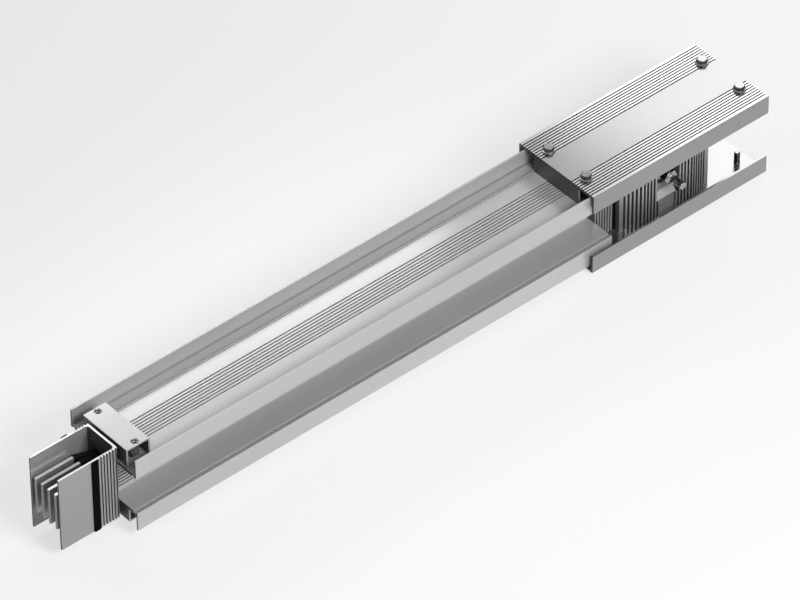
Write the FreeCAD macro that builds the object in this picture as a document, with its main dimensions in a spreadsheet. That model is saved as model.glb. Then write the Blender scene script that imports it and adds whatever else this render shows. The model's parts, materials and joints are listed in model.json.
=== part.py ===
import FreeCAD, Part
import os
import re

import Sketcher
from FreeCAD import Placement, Rotation, Vector

# A straight sandwich busway length with its joint kit bolted to its right-hand end.
# X runs along the busway, Y across it and Z up. Lengths are in millimetres.
# The origin is below the middle of the whole piece, on the level floor.

doc = FreeCAD.newDocument("BuswaySection")
sheet = doc.addObject("Spreadsheet::Sheet", "Sizes")

sizes = {
    # Length of one module, from joint centre to joint centre
    "moduleLength": 1000,
    "wallFromJoint": 111,
    "tipFromJoint": 19.6,
    # Housing channels
    "sectionWidth": 126,
    "sectionHeight": 115,
    "lipThickness": 2.5,
    "lipRadius": 0.8,
    "troughDepth": 23.6,
    "webThickness": 5,
    "relief": 5,
    "reliefDepth": 2,
    "beadFromLip": 16.5,
    "beadWidth": 1.4,
    "beadGap": 1.4,
    "beadHeight": 1.2,
    "webGrooves": 8,
    "webGroovePitch": 4.7,
    "webGrooveWidth": 2,
    "webGrooveDepth": 1.6,
    # Side plates of the housing
    "sidePlate": 3.5,
    "sideRibs": 10,
    "sideRibWidth": 2.4,
    "sideRibHeight": 2,
    "sideBandBelow": 5.5,
    "sideBandAbove": 3,
    # Conductors
    "barThickness": 4,
    "barMargin": 0.9,
    "barTipRadius": 1.5,
    "sleeveThickness": 1,
    "sleeveReach": 32,
    "bendStart": 5,
    # End brackets
    "wingThickness": 2.7,
    "wingClearance": 0.1,
    "backWall": 3,
    "cornerOuter": 3.5,
    "cornerInner": 4.5,
    "bracketFins": 6,
    "bracketFinPitch": 4.6,
    "bracketFinWidth": 2.3,
    "bracketFinDepth": 2.1,
    "bracketFinProud": 0.8,
    "ventHole": 4.5,
    "ventHoleOffset": 17,
    "ventHoleDrop": 14,
    "gasketWidth": 10.6,
    "gasketThickness": 2.6,
    "gasketFromFins": 0.9,
    # Clips and their threaded inserts
    "clipGap": 3,
    "clipLength": 36.6,
    "clipEdge": 6.6,
    "clipThickness": 2.5,
    "clipRadius": 2,
    "boltSpread": 70.8,
    "insertBody": 11,
    "insertLength": 20,
    "insertBore": 8.2,
    # Joint covers
    "coverBoltEdge": 18.7,
    "coverWidth": 142,
    "coverGap": 2.2,
    "coverFlange": 27.6,
    "coverPlate": 4,
    "coverWall": 3,
    "coverRadius": 1.4,
    "coverGrooves": 9,
    "coverGroovePitch": 4.4,
    "coverGrooveWidth": 2,
    "coverGrooveDepth": 1.4,
    "coverEdgeStrip": 6.5,
    # Cover bolts
    "boltShank": 8,
    "boltLength": 21,
    "boltFlange": 18,
    "boltFlangeHeight": 1.8,
    "boltHex": 13,
    "boltHead": 5.2,
    "boltClearance": 0.6,
    # Joint stack
    "stackLength": 154,
    "stackThickness": 15.7,
    "stackEndThickness": 7.7,
    "stackFlat": 84,
    "splicePlate": 2.9,
    "spliceInset": 15,
    "spliceOverlap": 2,
    "insulator": 3,
    "outerInsulator": 1.8,
    "insulatorInset": 5,
    "insulatorGap": 3.5,
    "pressPadGap": 2.6,
    "stackSlots": 10,
    "stackFinPitch": 5.65,
    "stackSlotWidth": 3.3,
    "stackBase": 4,
    "stackEndStrip": 6.5,
    "recessWidth": 28,
    "boltWindowWidth": 38,
    "boltWindowDrop": 28,
    "boltWindowSlope": 8,
    "recessDepth": 3,
    "boltWindowDepth": 10,
    # Joint bolt
    "jointBolt": 14,
    "jointSleeve": 20,
    "jointClearance": 0.5,
    "washer": 32,
    "washerThickness": 3.4,
    "washerDish": 2.8,
    "jointHex": 18,
    "jointHead": 10,
    "jointNeck": 8,
    "jointNeckLength": 2,
    "jointOuterHex": 9.5,
    "jointOuterHead": 20,
}
for row, (alias, size) in enumerate(sizes.items(), start=1):
    sheet.set(f"A{row}", alias)
    sheet.set(f"B{row}", str(size))
    sheet.setAlias(f"B{row}", alias)
doc.recompute()

# Places worked out from the driving sizes
halfHeight = "(sectionHeight / 2)"
halfWidth = "(sectionWidth / 2)"
troughTop = f"({halfHeight} - troughDepth)"
webFace = f"({troughTop} - webThickness)"
barHeight = f"(2 * ({webFace} - barMargin))"
sandwichPitch = "(barThickness + 2 * sleeveThickness)"
jointPitch = "(barThickness + 2 * splicePlate + insulator)"
sandwichFace = f"(1.5 * {sandwichPitch} + barThickness / 2 + sleeveThickness)"
sidePlateFace = f"({sandwichFace} + sidePlate)"
poleFace = f"(1.5 * {jointPitch} + barThickness / 2 + splicePlate)"
wingInner = f"({poleFace} + outerInsulator + wingClearance)"
wingOuter = f"({wingInner} + wingThickness)"
finFace = f"({wingOuter} + bracketFinProud)"
wallPlace = "(moduleLength / 2 - wallFromJoint)"
wingLength = "(wallFromJoint - tipFromJoint)"
beadPlace = f"({halfWidth} - lipThickness - beadFromLip)"
sideRibPitch = f"((2 * {webFace} - sideBandBelow - sideBandAbove - sideRibWidth) / (sideRibs - 1))"
finnedLength = "(bracketFinPitch * bracketFins + bracketFinWidth)"
coverFace = f"({halfHeight} + coverGap)"
coverTop = f"({coverFace} + coverPlate)"
clipMiddle = "(clipGap + clipLength / 2)"
boltPlace = f"(wallFromJoint + {clipMiddle})"
coverEnd = f"({boltPlace} + coverBoltEdge)"
boltStandout = "(boltFlangeHeight + boltHead)"
insulatorFace = f"({poleFace} + outerInsulator)"
stackInner = f"({wingOuter} + gasketThickness)"
stackOuter = f"({stackInner} + stackThickness)"
boltSeat = f"({stackOuter} - boltWindowDepth)"
headSeat = f"({boltSeat} + washerThickness + washerDish)"
boltTip = f"({headSeat} + jointHead + jointNeckLength + jointOuterHead)"

# Where the axis of the section lies. Its front is a little longer than its back, because
# the joint bolt's outer head reaches past the covers, so the axis is behind the origin.
axisSide = f"(({boltTip} - coverWidth / 2) / 2)"
axisHeight = f"({coverTop} + {boltStandout})"
sectionMiddle = f"(-({coverEnd} + tipFromJoint) / 2)"
jointMiddle = f"({sectionMiddle} + moduleLength / 2)"

made = []


def value(expression):
    # The number that an expression of the sheet's names gives now
    return float(sheet.evalExpression(expression))


def bound(expression):
    # The same expression as another object has to write it
    return re.sub(r"[A-Za-z]\w*", lambda word: "Sizes." + word.group(0), expression)


def bind(thing, **properties):
    for name, expression in properties.items():
        thing.setExpression(name, bound(expression))


def newBody(name):
    return doc.addObject("PartDesign::Body", name)


def keep(thing, label, x, y, z, turn=None):
    # Places a finished sub-part, with y from the section's axis, and lists it for writing
    thing.Label = label
    if turn:
        thing.Placement = Placement(Vector(), turn)
    for axis, expression in (("x", x), ("y", f"{axisSide} + {y}"), ("z", z)):
        thing.setExpression(f"Placement.Base.{axis}", bound(expression))
    made.append(thing)
    return thing


def originPlane(body, role):
    return [plane for plane in body.Origin.OriginFeatures if plane.Role == role][0]


def newSketch(body, role, name):
    sketch = body.newObject("Sketcher::SketchObject", name)
    sketch.AttachmentSupport = [(originPlane(body, role), "")]
    sketch.MapMode = "FlatFace"
    return sketch


def fixPoint(sketch, geometry, end, x, y):
    # Ties one point of a sketch to the sheet, measured from the sketch's origin
    for kind, axis, expression in (("DistanceX", -2, x), ("DistanceY", -1, y)):
        if expression == "0":
            sketch.addConstraint(Sketcher.Constraint("PointOnObject", geometry, end, axis))
            continue
        rule = Sketcher.Constraint(kind, -1, 1, geometry, end, value(expression))
        index = sketch.addConstraint(rule)
        sketch.setExpression(f"Constraints[{index}]", bound(expression))


def drawOutline(sketch, corners):
    # A closed outline whose corners are pairs of expressions
    points = [Vector(value(x), value(y), 0) for x, y in corners]
    first = sketch.GeometryCount
    count = len(points)
    for i, point in enumerate(points):
        sketch.addGeometry(Part.LineSegment(point, points[(i + 1) % count]))
    for i, (x, y) in enumerate(corners):
        following = first + (i + 1) % count
        sketch.addConstraint(Sketcher.Constraint("Coincident", first + i, 2, following, 1))
        fixPoint(sketch, first + i, 1, x, y)


def drawBox(sketch, left, right, low, high):
    drawOutline(sketch, [(left, low), (right, low), (right, high), (left, high)])


def drawCircle(sketch, x, y, diameter):
    centre = Vector(value(x), value(y), 0)
    index = sketch.addGeometry(Part.Circle(centre, Vector(0, 0, 1), value(diameter) / 2))
    fixPoint(sketch, index, 3, x, y)
    rule = sketch.addConstraint(Sketcher.Constraint("Diameter", index, value(diameter)))
    sketch.setExpression(f"Constraints[{rule}]", bound(diameter))


def addPad(body, sketch, length, middle=False, reverse=False):
    pad = body.newObject("PartDesign::Pad", "Pad")
    pad.Profile = sketch
    pad.Midplane = middle
    pad.Reversed = reverse
    bind(pad, Length=length)
    body.Tip = pad
    return pad


def addTurned(body, corners):
    # A full turn of this outline, drawn as radius and height, about the body's Z axis
    profile = newSketch(body, "XZ_Plane", "Profile")
    drawOutline(profile, corners)
    turned = body.newObject("PartDesign::Revolution", "Turned")
    turned.Profile = profile
    turned.ReferenceAxis = (profile, ["V_Axis"])
    turned.Angle = 360
    body.Tip = turned
    return turned


def addPocket(body, sketch, length, middle=False, reverse=False):
    pocket = body.newObject("PartDesign::Pocket", "Pocket")
    pocket.Profile = sketch
    pocket.Midplane = middle
    pocket.Reversed = reverse
    bind(pocket, Length=length)
    body.Tip = pocket
    return pocket


def addPattern(body, feature, axis, pitch, count, reverse=False):
    pattern = body.newObject("PartDesign::LinearPattern", "Pattern")
    pattern.Originals = [feature]
    pattern.Direction = (feature.Profile[0], [axis])
    pattern.Reversed = reverse
    bind(pattern, Length=f"{pitch} * ({count} - 1)", Occurrences=count)
    body.Tip = pattern
    return pattern


def roundEdges(body, radius, wanted):
    # Fillets the edges for which wanted says yes
    doc.recompute()
    base = body.Tip
    names = [f"Edge{i}" for i, edge in enumerate(base.Shape.Edges, 1) if wanted(edge)]
    fillet = body.newObject("PartDesign::Fillet", "Fillet")
    fillet.Base = (base, names)
    bind(fillet, Radius=radius)
    body.Tip = fillet
    return fillet


def liesAt(edge, axes, places):
    # True for a straight edge whose ends both lie at one of these pairs of coordinates
    ends = [vertex.Point for vertex in edge.Vertexes]
    return len(ends) == 2 and any(
        all(abs(getattr(end, axis) - at) < 0.01 for end in ends for axis, at in zip(axes, place))
        for place in places
    )


turnOver = Rotation(Vector(1, 0, 0), 180)
turnRound = Rotation(Vector(0, 0, 1), 180)


# Housing channels: a trough with upright lips, two small double beads and fine grooves
def makeChannel(label, turn):
    body = newBody("Channel")
    lipInner = f"({halfWidth} - lipThickness)"
    reliefInner = f"({lipInner} - relief)"
    half = [
        (halfWidth, halfHeight),
        (lipInner, halfHeight),
        (lipInner, troughTop),
    ]
    for side in (1, -1):
        near = f"({beadPlace} + {side} * (beadGap / 2 + beadWidth))"
        far = f"({beadPlace} + {side} * beadGap / 2)"
        first, second = (near, far) if side > 0 else (far, near)
        half += [
            (first, troughTop),
            (first, f"({troughTop} + beadHeight)"),
            (second, f"({troughTop} + beadHeight)"),
            (second, troughTop),
        ]
    under = [
        (reliefInner, webFace),
        (reliefInner, f"({webFace} + reliefDepth)"),
        (lipInner, f"({webFace} + reliefDepth)"),
        (lipInner, webFace),
        (halfWidth, webFace),
    ]
    mirrored = [(f"-{x}", z) for x, z in reversed(half)]
    mirroredUnder = [(f"-{x}", z) for x, z in reversed(under)]
    sketch = newSketch(body, "YZ_Plane", "Section")
    drawOutline(sketch, half + mirrored + mirroredUnder + under)
    addPad(body, sketch, f"2 * {wallPlace}", middle=True)
    rims = [(way * value(y), value(halfHeight)) for way in (1, -1) for y in (halfWidth, lipInner)]
    roundEdges(body, "lipRadius", lambda edge: liesAt(edge, "yz", rims))
    groove = newSketch(body, "YZ_Plane", "Groove")
    start = "(-webGroovePitch * (webGrooves - 1) / 2)"
    drawBox(
        groove,
        f"{start} - webGrooveWidth / 2",
        f"{start} + webGrooveWidth / 2",
        f"{troughTop} - webGrooveDepth",
        troughTop,
    )
    cut = addPocket(body, groove, f"2 * {wallPlace}", middle=True)
    addPattern(body, cut, "H_Axis", "webGroovePitch", "webGrooves")
    keep(body, label, sectionMiddle, "0", axisHeight, turn)


# Side plates between the channels, ribbed outside, with a plain band along the bottom
def makeSidePlate(label, side):
    body = newBody("SidePlate")
    sketch = newSketch(body, "YZ_Plane", "Section")
    inner, outer = f"{side} * {sandwichFace}", f"{side} * {sidePlateFace}"
    drawBox(sketch, inner, outer, f"-{webFace}", webFace)
    addPad(body, sketch, f"2 * {wallPlace}", middle=True)
    rib = newSketch(body, "YZ_Plane", "Rib")
    low = f"(-{webFace} + sideBandBelow)"
    ribTop = f"{side} * ({sidePlateFace} + sideRibHeight)"
    drawBox(rib, outer, ribTop, low, f"{low} + sideRibWidth")
    raised = addPad(body, rib, f"2 * {wallPlace}", middle=True)
    addPattern(body, raised, "V_Axis", sideRibPitch, "sideRibs")
    keep(body, label, sectionMiddle, "0", axisHeight)


def drawBar(sketch, pole, reach, extra):
    # A bar's plan view: close to its neighbours inside the housing, spread at both ends
    inside, spread = f"({pole} * {sandwichPitch})", f"({pole} * {jointPitch})"
    stations = [
        (reach, spread),
        (f"({wallPlace} + sleeveReach)", spread),
        (f"({wallPlace} + bendStart)", inside),
    ]
    if extra != "0":
        stations = stations[1:]
    half = f"(barThickness / 2 + {extra})"
    right = [(x, f"({y} - {half})") for x, y in stations]
    left = [(f"-{x}", y) for x, y in reversed(right)]
    leftBack = [(f"-{x}", f"({y} + {half})") for x, y in stations]
    rightBack = [(x, f"({y} + {half})") for x, y in reversed(stations)]
    drawOutline(sketch, right + left + leftBack + rightBack)


# Conductors and the insulating sleeve on each of them
def makeConductor(number, pole):
    bar = newBody("Bar")
    sketch = newSketch(bar, "XY_Plane", "Plan")
    reach = f"({wallPlace} + {wingLength})"
    drawBar(sketch, pole, reach, "0")
    addPad(bar, sketch, barHeight, middle=True)
    sides = [value(f"{pole} * {jointPitch} + {way} * barThickness / 2") for way in (1, -1)]
    tips = [(end * value(reach), y) for end in (1, -1) for y in sides]
    roundEdges(bar, "barTipRadius", lambda edge: liesAt(edge, "xy", tips))
    keep(bar, f"conductor_bar_{number}", sectionMiddle, "0", axisHeight)

    wrap = newBody("Wrap")
    plan = newSketch(wrap, "XY_Plane", "Plan")
    drawBar(plan, pole, "0", "sleeveThickness")
    addPad(wrap, plan, f"2 * {webFace}", middle=True)
    places = {"x": sectionMiddle, "y": axisSide, "z": axisHeight}
    bind(wrap, **{f"Placement.Base.{axis}": place for axis, place in places.items()})
    sleeve = doc.addObject("Part::Cut", "Sleeve")
    sleeve.Base = wrap
    sleeve.Tool = bar
    sleeve.Label = f"bar_sleeve_{number}"
    made.append(sleeve)


# End brackets: a finned U that closes the housing and reaches along the bar ends.
# Their own X starts at the outer face of the back wall and runs towards the joint.
def makeEndBracket(label, side, turn):
    body = newBody("EndBracket")
    sketch = newSketch(body, "XY_Plane", "Plan")
    half = [
        (wingLength, wingInner),
        (wingLength, wingOuter),
        (finnedLength, wingOuter),
        (finnedLength, finFace),
        ("0", finFace),
    ]
    mirrored = [(x, f"-{y}") for x, y in reversed(half)]
    inner = [("backWall", f"-{wingInner}"), ("backWall", wingInner)]
    drawOutline(sketch, half + mirrored + inner)
    addPad(body, sketch, "sectionHeight", middle=True)
    outerCorners = [(0, way * value(finFace)) for way in (1, -1)]
    innerCorners = [(value("backWall"), way * value(wingInner)) for way in (1, -1)]
    roundEdges(body, "cornerOuter", lambda edge: liesAt(edge, "xy", outerCorners))
    roundEdges(body, "cornerInner", lambda edge: liesAt(edge, "xy", innerCorners))
    for way in (1, -1):
        slot = newSketch(body, "XY_Plane", "FinSlot")
        drawBox(
            slot,
            "bracketFinWidth",
            "bracketFinPitch",
            f"{way} * ({finFace} - bracketFinDepth)",
            f"{way} * ({finFace} + 1)",
        )
        cut = addPocket(body, slot, "sectionHeight", middle=True)
        addPattern(body, cut, "H_Axis", "bracketFinPitch", "bracketFins")
    window = newSketch(body, "YZ_Plane", "Window")
    drawBox(window, f"-{sandwichFace}", sandwichFace, f"-{webFace}", webFace)
    for way in (1, -1):
        drawCircle(
            window, f"{way} * ventHoleOffset", f"{halfHeight} - ventHoleDrop", "ventHole"
        )
    addPocket(body, window, "backWall", reverse=True)
    place = f"{sectionMiddle} + {side} * {wallPlace}"
    keep(body, label, place, "0", axisHeight, turn)


def makeGasket(label, side, way):
    gasket = doc.addObject("Part::Box", "Gasket")
    bind(gasket, Length="gasketWidth", Width="gasketThickness", Height="sectionHeight")
    near = f"({sectionMiddle} + {side} * ({wallPlace} + {finnedLength} + gasketFromFins))"
    x = near if side > 0 else f"({near} - gasketWidth)"
    y = wingOuter if way > 0 else f"(-{wingOuter} - gasketThickness)"
    keep(gasket, label, x, y, f"{axisHeight} - {halfHeight}")


# Clips: an inverted channel on the web with two threaded inserts for the cover bolts
def makeClip(label, side, way, turn):
    body = newBody("Clip")
    reach = f"({coverFace} - {troughTop})"
    half = "(clipLength / 2)"
    inner = f"({half} - clipThickness)"
    sketch = newSketch(body, "XZ_Plane", "Section")
    corners = [
        (f"-{half}", "0"),
        (f"-{half}", reach),
        (half, reach),
        (half, "0"),
        (inner, "0"),
        (inner, f"({reach} - clipThickness)"),
        (f"-{inner}", f"({reach} - clipThickness)"),
        (f"-{inner}", "0"),
    ]
    drawOutline(sketch, corners)
    addPad(body, sketch, "boltSpread + 2 * clipEdge", middle=True)
    bends = [(way * value(half), value(reach)) for way in (1, -1)]
    roundEdges(body, "clipRadius", lambda edge: liesAt(edge, "xz", bends))
    holes = newSketch(body, "XY_Plane", "Holes")
    for hand in (1, -1):
        drawCircle(holes, "0", f"{hand} * boltSpread / 2", "insertBody")
    addPocket(body, holes, reach, reverse=True)
    x = f"{sectionMiddle} + {side} * ({wallPlace} - {clipMiddle})"
    z = f"{axisHeight} + {way} * {troughTop}"
    keep(body, label, x, "0", z, turn)


def makeInsert(label, side, way, hand, turn):
    # A threaded insert is let into the clip's top, level with it, and hangs towards the web
    body = newBody("Insert")
    bore, outer = "insertBore / 2", "insertBody / 2"
    profile = [(bore, "0"), (outer, "0"), (outer, "-insertLength"), (bore, "-insertLength")]
    addTurned(body, profile)
    x = f"{sectionMiddle} + {side} * ({wallPlace} - {clipMiddle})"
    z = f"{axisHeight} + {way} * {coverFace}"
    keep(body, label, x, f"{hand} * boltSpread / 2", z, turn)


# Joint covers: two shallow channels that close the joint above and below
def makeCover(label, way, turn):
    body = newBody("Cover")
    outer, top = "(coverWidth / 2)", coverTop
    inner = f"({outer} - coverWall)"
    lip = f"({top} - coverFlange)"
    sketch = newSketch(body, "YZ_Plane", "Section")
    half = [(inner, coverFace), (inner, lip), (outer, lip), (outer, top)]
    mirrored = [(f"-{y}", z) for y, z in reversed(half)]
    drawOutline(sketch, half + mirrored)
    length = f"2 * {coverEnd}"
    addPad(body, sketch, length, middle=True)
    shoulders = [(way * value(outer), value(top)) for way in (1, -1)]
    roundEdges(body, "coverRadius", lambda edge: liesAt(edge, "yz", shoulders))
    for hand in (1, -1):
        groove = newSketch(body, "YZ_Plane", "Groove")
        edge = f"{hand} * ({outer} - coverEdgeStrip)"
        drawBox(
            groove,
            f"{edge} - coverGrooveWidth / 2",
            f"{edge} + coverGrooveWidth / 2",
            f"{top} - coverGrooveDepth",
            top,
        )
        cut = addPocket(body, groove, length, middle=True)
        addPattern(
            body, cut, "H_Axis", "coverGroovePitch", "coverGrooves", reverse=hand > 0
        )
    holes = newSketch(body, "XY_Plane", "Holes")
    for end in (1, -1):
        for hand in (1, -1):
            drawCircle(
                holes,
                f"{end} * {boltPlace}",
                f"{hand} * boltSpread / 2",
                "boltShank + boltClearance",
            )
    addPocket(body, holes, coverTop, reverse=True)
    keep(body, label, jointMiddle, "0", axisHeight, turn)


def addHex(name, across, height):
    # A hexagon of this size across its flats, with its corners turned off at the top
    prism = doc.addObject("Part::Prism", name)
    prism.Polygon = 6
    bind(prism, Circumradius=f"{across} / 1.7320508", Height=height)
    cone = doc.addObject("Part::Cone", name + "Cone")
    bind(cone, Radius1=f"{across} * 0.5 + {height}", Radius2=f"{across} * 0.52")
    bind(cone, Height=height)
    hexagon = doc.addObject("Part::Common", name + "Turned")
    hexagon.Base = prism
    hexagon.Tool = cone
    return hexagon


def addRound(name, diameter, height, z="0"):
    cylinder = doc.addObject("Part::Cylinder", name)
    bind(cylinder, Radius=f"{diameter} / 2", Height=height)
    cylinder.setExpression("Placement.Base.z", bound(z))
    return cylinder


# Cover bolts: flanged hexagon bolts, drawn from the bearing face upwards
def makeCoverBolt(label, end, hand, way, turn):
    head = addHex("BoltHead", "boltHex", boltStandout)
    flange = addRound("BoltFlange", "boltFlange", "boltFlangeHeight")
    shank = addRound("BoltShank", "boltShank", "boltLength", "-boltLength")
    bolt = doc.addObject("Part::MultiFuse", "CoverBolt")
    bolt.Shapes = [head, flange, shank]
    x = f"{jointMiddle} + {end} * {boltPlace}"
    z = f"{axisHeight} + {way} * {coverTop}"
    keep(bolt, label, x, f"{hand} * boltSpread / 2", z, turn)


# Joint side plates: bulged in plan, with upright slots that all reach to one base depth,
# a window in the middle for the joint bolt and a pad inside that presses on the stack
def makeStackPlate(label, turn):
    body = newBody("StackPlate")
    half, flat = "(stackLength / 2)", "(stackFlat / 2)"
    shoulder = f"({half} - stackEndStrip)"
    endFace = f"({stackInner} + stackEndThickness)"
    front = [
        (half, f"-{stackInner}"),
        (half, f"-{endFace}"),
        (shoulder, f"-{endFace}"),
        (flat, f"-{stackOuter}"),
    ]
    padEnd = "(tipFromJoint - pressPadGap)"
    pad = [
        (f"-{padEnd}", f"-{stackInner}"),
        (f"-{padEnd}", f"-{insulatorFace}"),
        (padEnd, f"-{insulatorFace}"),
        (padEnd, f"-{stackInner}"),
    ]
    sketch = newSketch(body, "XY_Plane", "Plan")
    drawOutline(sketch, front + [(f"-{x}", y) for x, y in reversed(front)] + pad)
    height = f"2 * {coverFace}"
    addPad(body, sketch, height, middle=True)
    for side in (1, -1):
        slot = newSketch(body, "XY_Plane", "Slot")
        near, far = f"{side} * {shoulder}", f"{side} * ({shoulder} - stackSlotWidth)"
        base = f"-({stackInner} + stackBase)"
        drawBox(slot, near, far, f"-({stackOuter} + 1)", base)
        cut = addPocket(body, slot, height, middle=True)
        addPattern(body, cut, "H_Axis", "stackFinPitch", "stackSlots", reverse=side > 0)
    recess = newSketch(body, "XY_Plane", "Recess")
    side = "(recessWidth / 2)"
    drawBox(recess, f"-{side}", side, f"-({stackOuter} + 1)", f"-({stackOuter} - recessDepth)")
    addPocket(body, recess, height, middle=True)
    # The window is deeper and wider than the recess and ends below in a sloped ledge
    window = newSketch(body, "YZ_Plane", "Window")
    floor = "-boltWindowDrop"
    corners = [
        (f"-{boltSeat}", coverFace),
        (f"-{boltSeat}", floor),
        (f"-({stackOuter} - recessDepth)", f"{floor} - boltWindowSlope"),
        (f"-({stackOuter} + 1)", f"{floor} - boltWindowSlope"),
        (f"-({stackOuter} + 1)", coverFace),
    ]
    drawOutline(window, corners)
    addPocket(body, window, "boltWindowWidth", middle=True)
    hole = newSketch(body, "XZ_Plane", "BoltHole")
    drawCircle(hole, "0", "0", "jointBolt + jointClearance")
    addPocket(body, hole, f"2 * {stackOuter}", middle=True)
    keep(body, label, jointMiddle, "0", axisHeight, turn)


# Flat plates of the stack, each with a hole for the insulated joint bolt
def makeStackSheet(label, near, thickness, length, height):
    body = newBody("StackSheet")
    sketch = newSketch(body, "XZ_Plane", "Face")
    drawBox(sketch, f"-{length} / 2", f"{length} / 2", f"-{height} / 2", f"{height} / 2")
    drawCircle(sketch, "0", "0", "jointSleeve + jointClearance")
    addPad(body, sketch, thickness, reverse=True)
    keep(body, label, jointMiddle, near, axisHeight)


def makeStackSheets():
    spliceLength, insulatorLength = (
        f"(stackLength - 2 * {inset})" for inset in ("spliceInset", "insulatorInset")
    )
    spliceHeight = f"({barHeight} + 2 * spliceOverlap)"
    insulatorHeight = f"(2 * ({coverFace} - insulatorGap))"
    for number, pole in enumerate((-1.5, -0.5, 0.5, 1.5), 1):
        middle = f"{pole} * {jointPitch}"
        for name, face in (
            ("front", f"{middle} - barThickness / 2 - splicePlate"),
            ("back", f"{middle} + barThickness / 2"),
        ):
            label = f"splice_plate_{number}_{name}"
            makeStackSheet(label, face, "splicePlate", spliceLength, spliceHeight)
    faces = [(f"-{poleFace} - outerInsulator", "outerInsulator")]
    faces += [(f"{gap} * {jointPitch} - insulator / 2", "insulator") for gap in (-1, 0, 1)]
    faces += [(poleFace, "outerInsulator")]
    for number, (face, thickness) in enumerate(faces, 1):
        label = f"stack_insulator_{number}"
        makeStackSheet(label, face, thickness, insulatorLength, insulatorHeight)


# Dished washers that keep the stack under spring load, resting on their outer rim
def makeWasher(label, place, turn):
    body = newBody("Washer")
    bore, rim = "((jointBolt + jointClearance) / 2)", "(washer / 2)"
    profile = [
        (bore, "washerDish"),
        (rim, "0"),
        (rim, "washerThickness"),
        (bore, "washerThickness + washerDish"),
    ]
    addTurned(body, profile)
    keep(body, label, jointMiddle, place, axisHeight, turn)


# Joint bolt: one long bolt through the stack, with a doubled head, a nut and washers
def makeJointBolt():
    facingFront = Rotation(Vector(1, 0, 0), 90)
    facingBack = Rotation(Vector(1, 0, 0), -90)
    head = addHex("JointHead", "jointHex", "jointHead")
    neck = addRound("JointNeck", "jointNeck", "jointNeckLength", "jointHead")
    outer = addHex("JointOuter", "jointOuterHex", "jointOuterHead")
    outer.setExpression("Placement.Base.z", bound("jointHead + jointNeckLength"))
    shank = f"(2 * {headSeat} + jointHead + jointNeckLength)"
    rod = addRound("JointRod", "jointBolt", shank, f"-{shank}")
    bolt = doc.addObject("Part::MultiFuse", "JointBolt")
    bolt.Shapes = [head, neck, outer, rod]
    keep(bolt, "joint_bolt", jointMiddle, f"-{headSeat}", axisHeight, facingFront)

    hexagon = addHex("NutHex", "jointHex", "jointHead")
    bore = addRound("NutBore", "jointBolt", "jointHead")
    nut = doc.addObject("Part::Cut", "Nut")
    nut.Base = hexagon
    nut.Tool = bore
    keep(nut, "joint_nut", jointMiddle, headSeat, axisHeight, facingBack)

    makeWasher("joint_washer_front", f"-{boltSeat}", facingFront)
    makeWasher("joint_washer_back", boltSeat, facingBack)

    tubeLength = f"2 * {insulatorFace}"
    outside = addRound("SleeveOutside", "jointSleeve", tubeLength)
    inside = addRound("SleeveInside", "(jointBolt + jointClearance)", tubeLength)
    tube = doc.addObject("Part::Cut", "BoltSleeve")
    tube.Base = outside
    tube.Tool = inside
    start = f"-{insulatorFace}"
    keep(tube, "joint_bolt_sleeve", jointMiddle, start, axisHeight, facingBack)


makeChannel("top_channel", None)
makeChannel("bottom_channel", turnOver)
makeSidePlate("side_plate_front", -1)
makeSidePlate("side_plate_back", 1)
for number, pole in enumerate((-1.5, -0.5, 0.5, 1.5), 1):
    makeConductor(number, pole)
for sideName, side in (("left", -1), ("right", 1)):
    makeEndBracket(f"end_bracket_{sideName}", side, turnRound if side < 0 else None)
    for wayName, way in (("front", -1), ("back", 1)):
        makeGasket(f"gasket_{sideName}_{wayName}", side, way)
    for wayName, way in (("top", 1), ("bottom", -1)):
        over = turnOver if way < 0 else None
        makeClip(f"clip_{sideName}_{wayName}", side, way, over)
        for handName, hand in (("front", -1), ("back", 1)):
            label = f"clip_insert_{sideName}_{wayName}_{handName}"
            makeInsert(label, side, way, hand, over)
for wayName, way in (("top", 1), ("bottom", -1)):
    over = turnOver if way < 0 else None
    makeCover(f"joint_cover_{wayName}", way, over)
    for endName, end in (("inner", -1), ("outer", 1)):
        for handName, hand in (("front", -1), ("back", 1)):
            label = f"cover_bolt_{wayName}_{endName}_{handName}"
            makeCoverBolt(label, end, hand, way, over)
makeStackPlate("stack_plate_front", None)
makeStackPlate("stack_plate_back", turnRound)
makeStackSheets()
makeJointBolt()
doc.recompute()

# Nothing is written unless every object and every sub-part is sound
for thing in doc.Objects:
    if "Invalid" in thing.State or "Error" in thing.State:
        raise RuntimeError(f"{thing.Label} failed: {thing.State}")
for thing in made:
    if thing.Shape.isNull() or not thing.Shape.isValid():
        raise RuntimeError(f"{thing.Label} has no valid shape")

os.makedirs("parts", exist_ok=True)
for thing in made:
    thing.Shape.exportStep(f"parts/{thing.Label}.step")
print(len(made), "sub-parts")
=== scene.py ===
import json
import math

import bmesh
import bpy
from mathutils import Matrix, Vector


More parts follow.
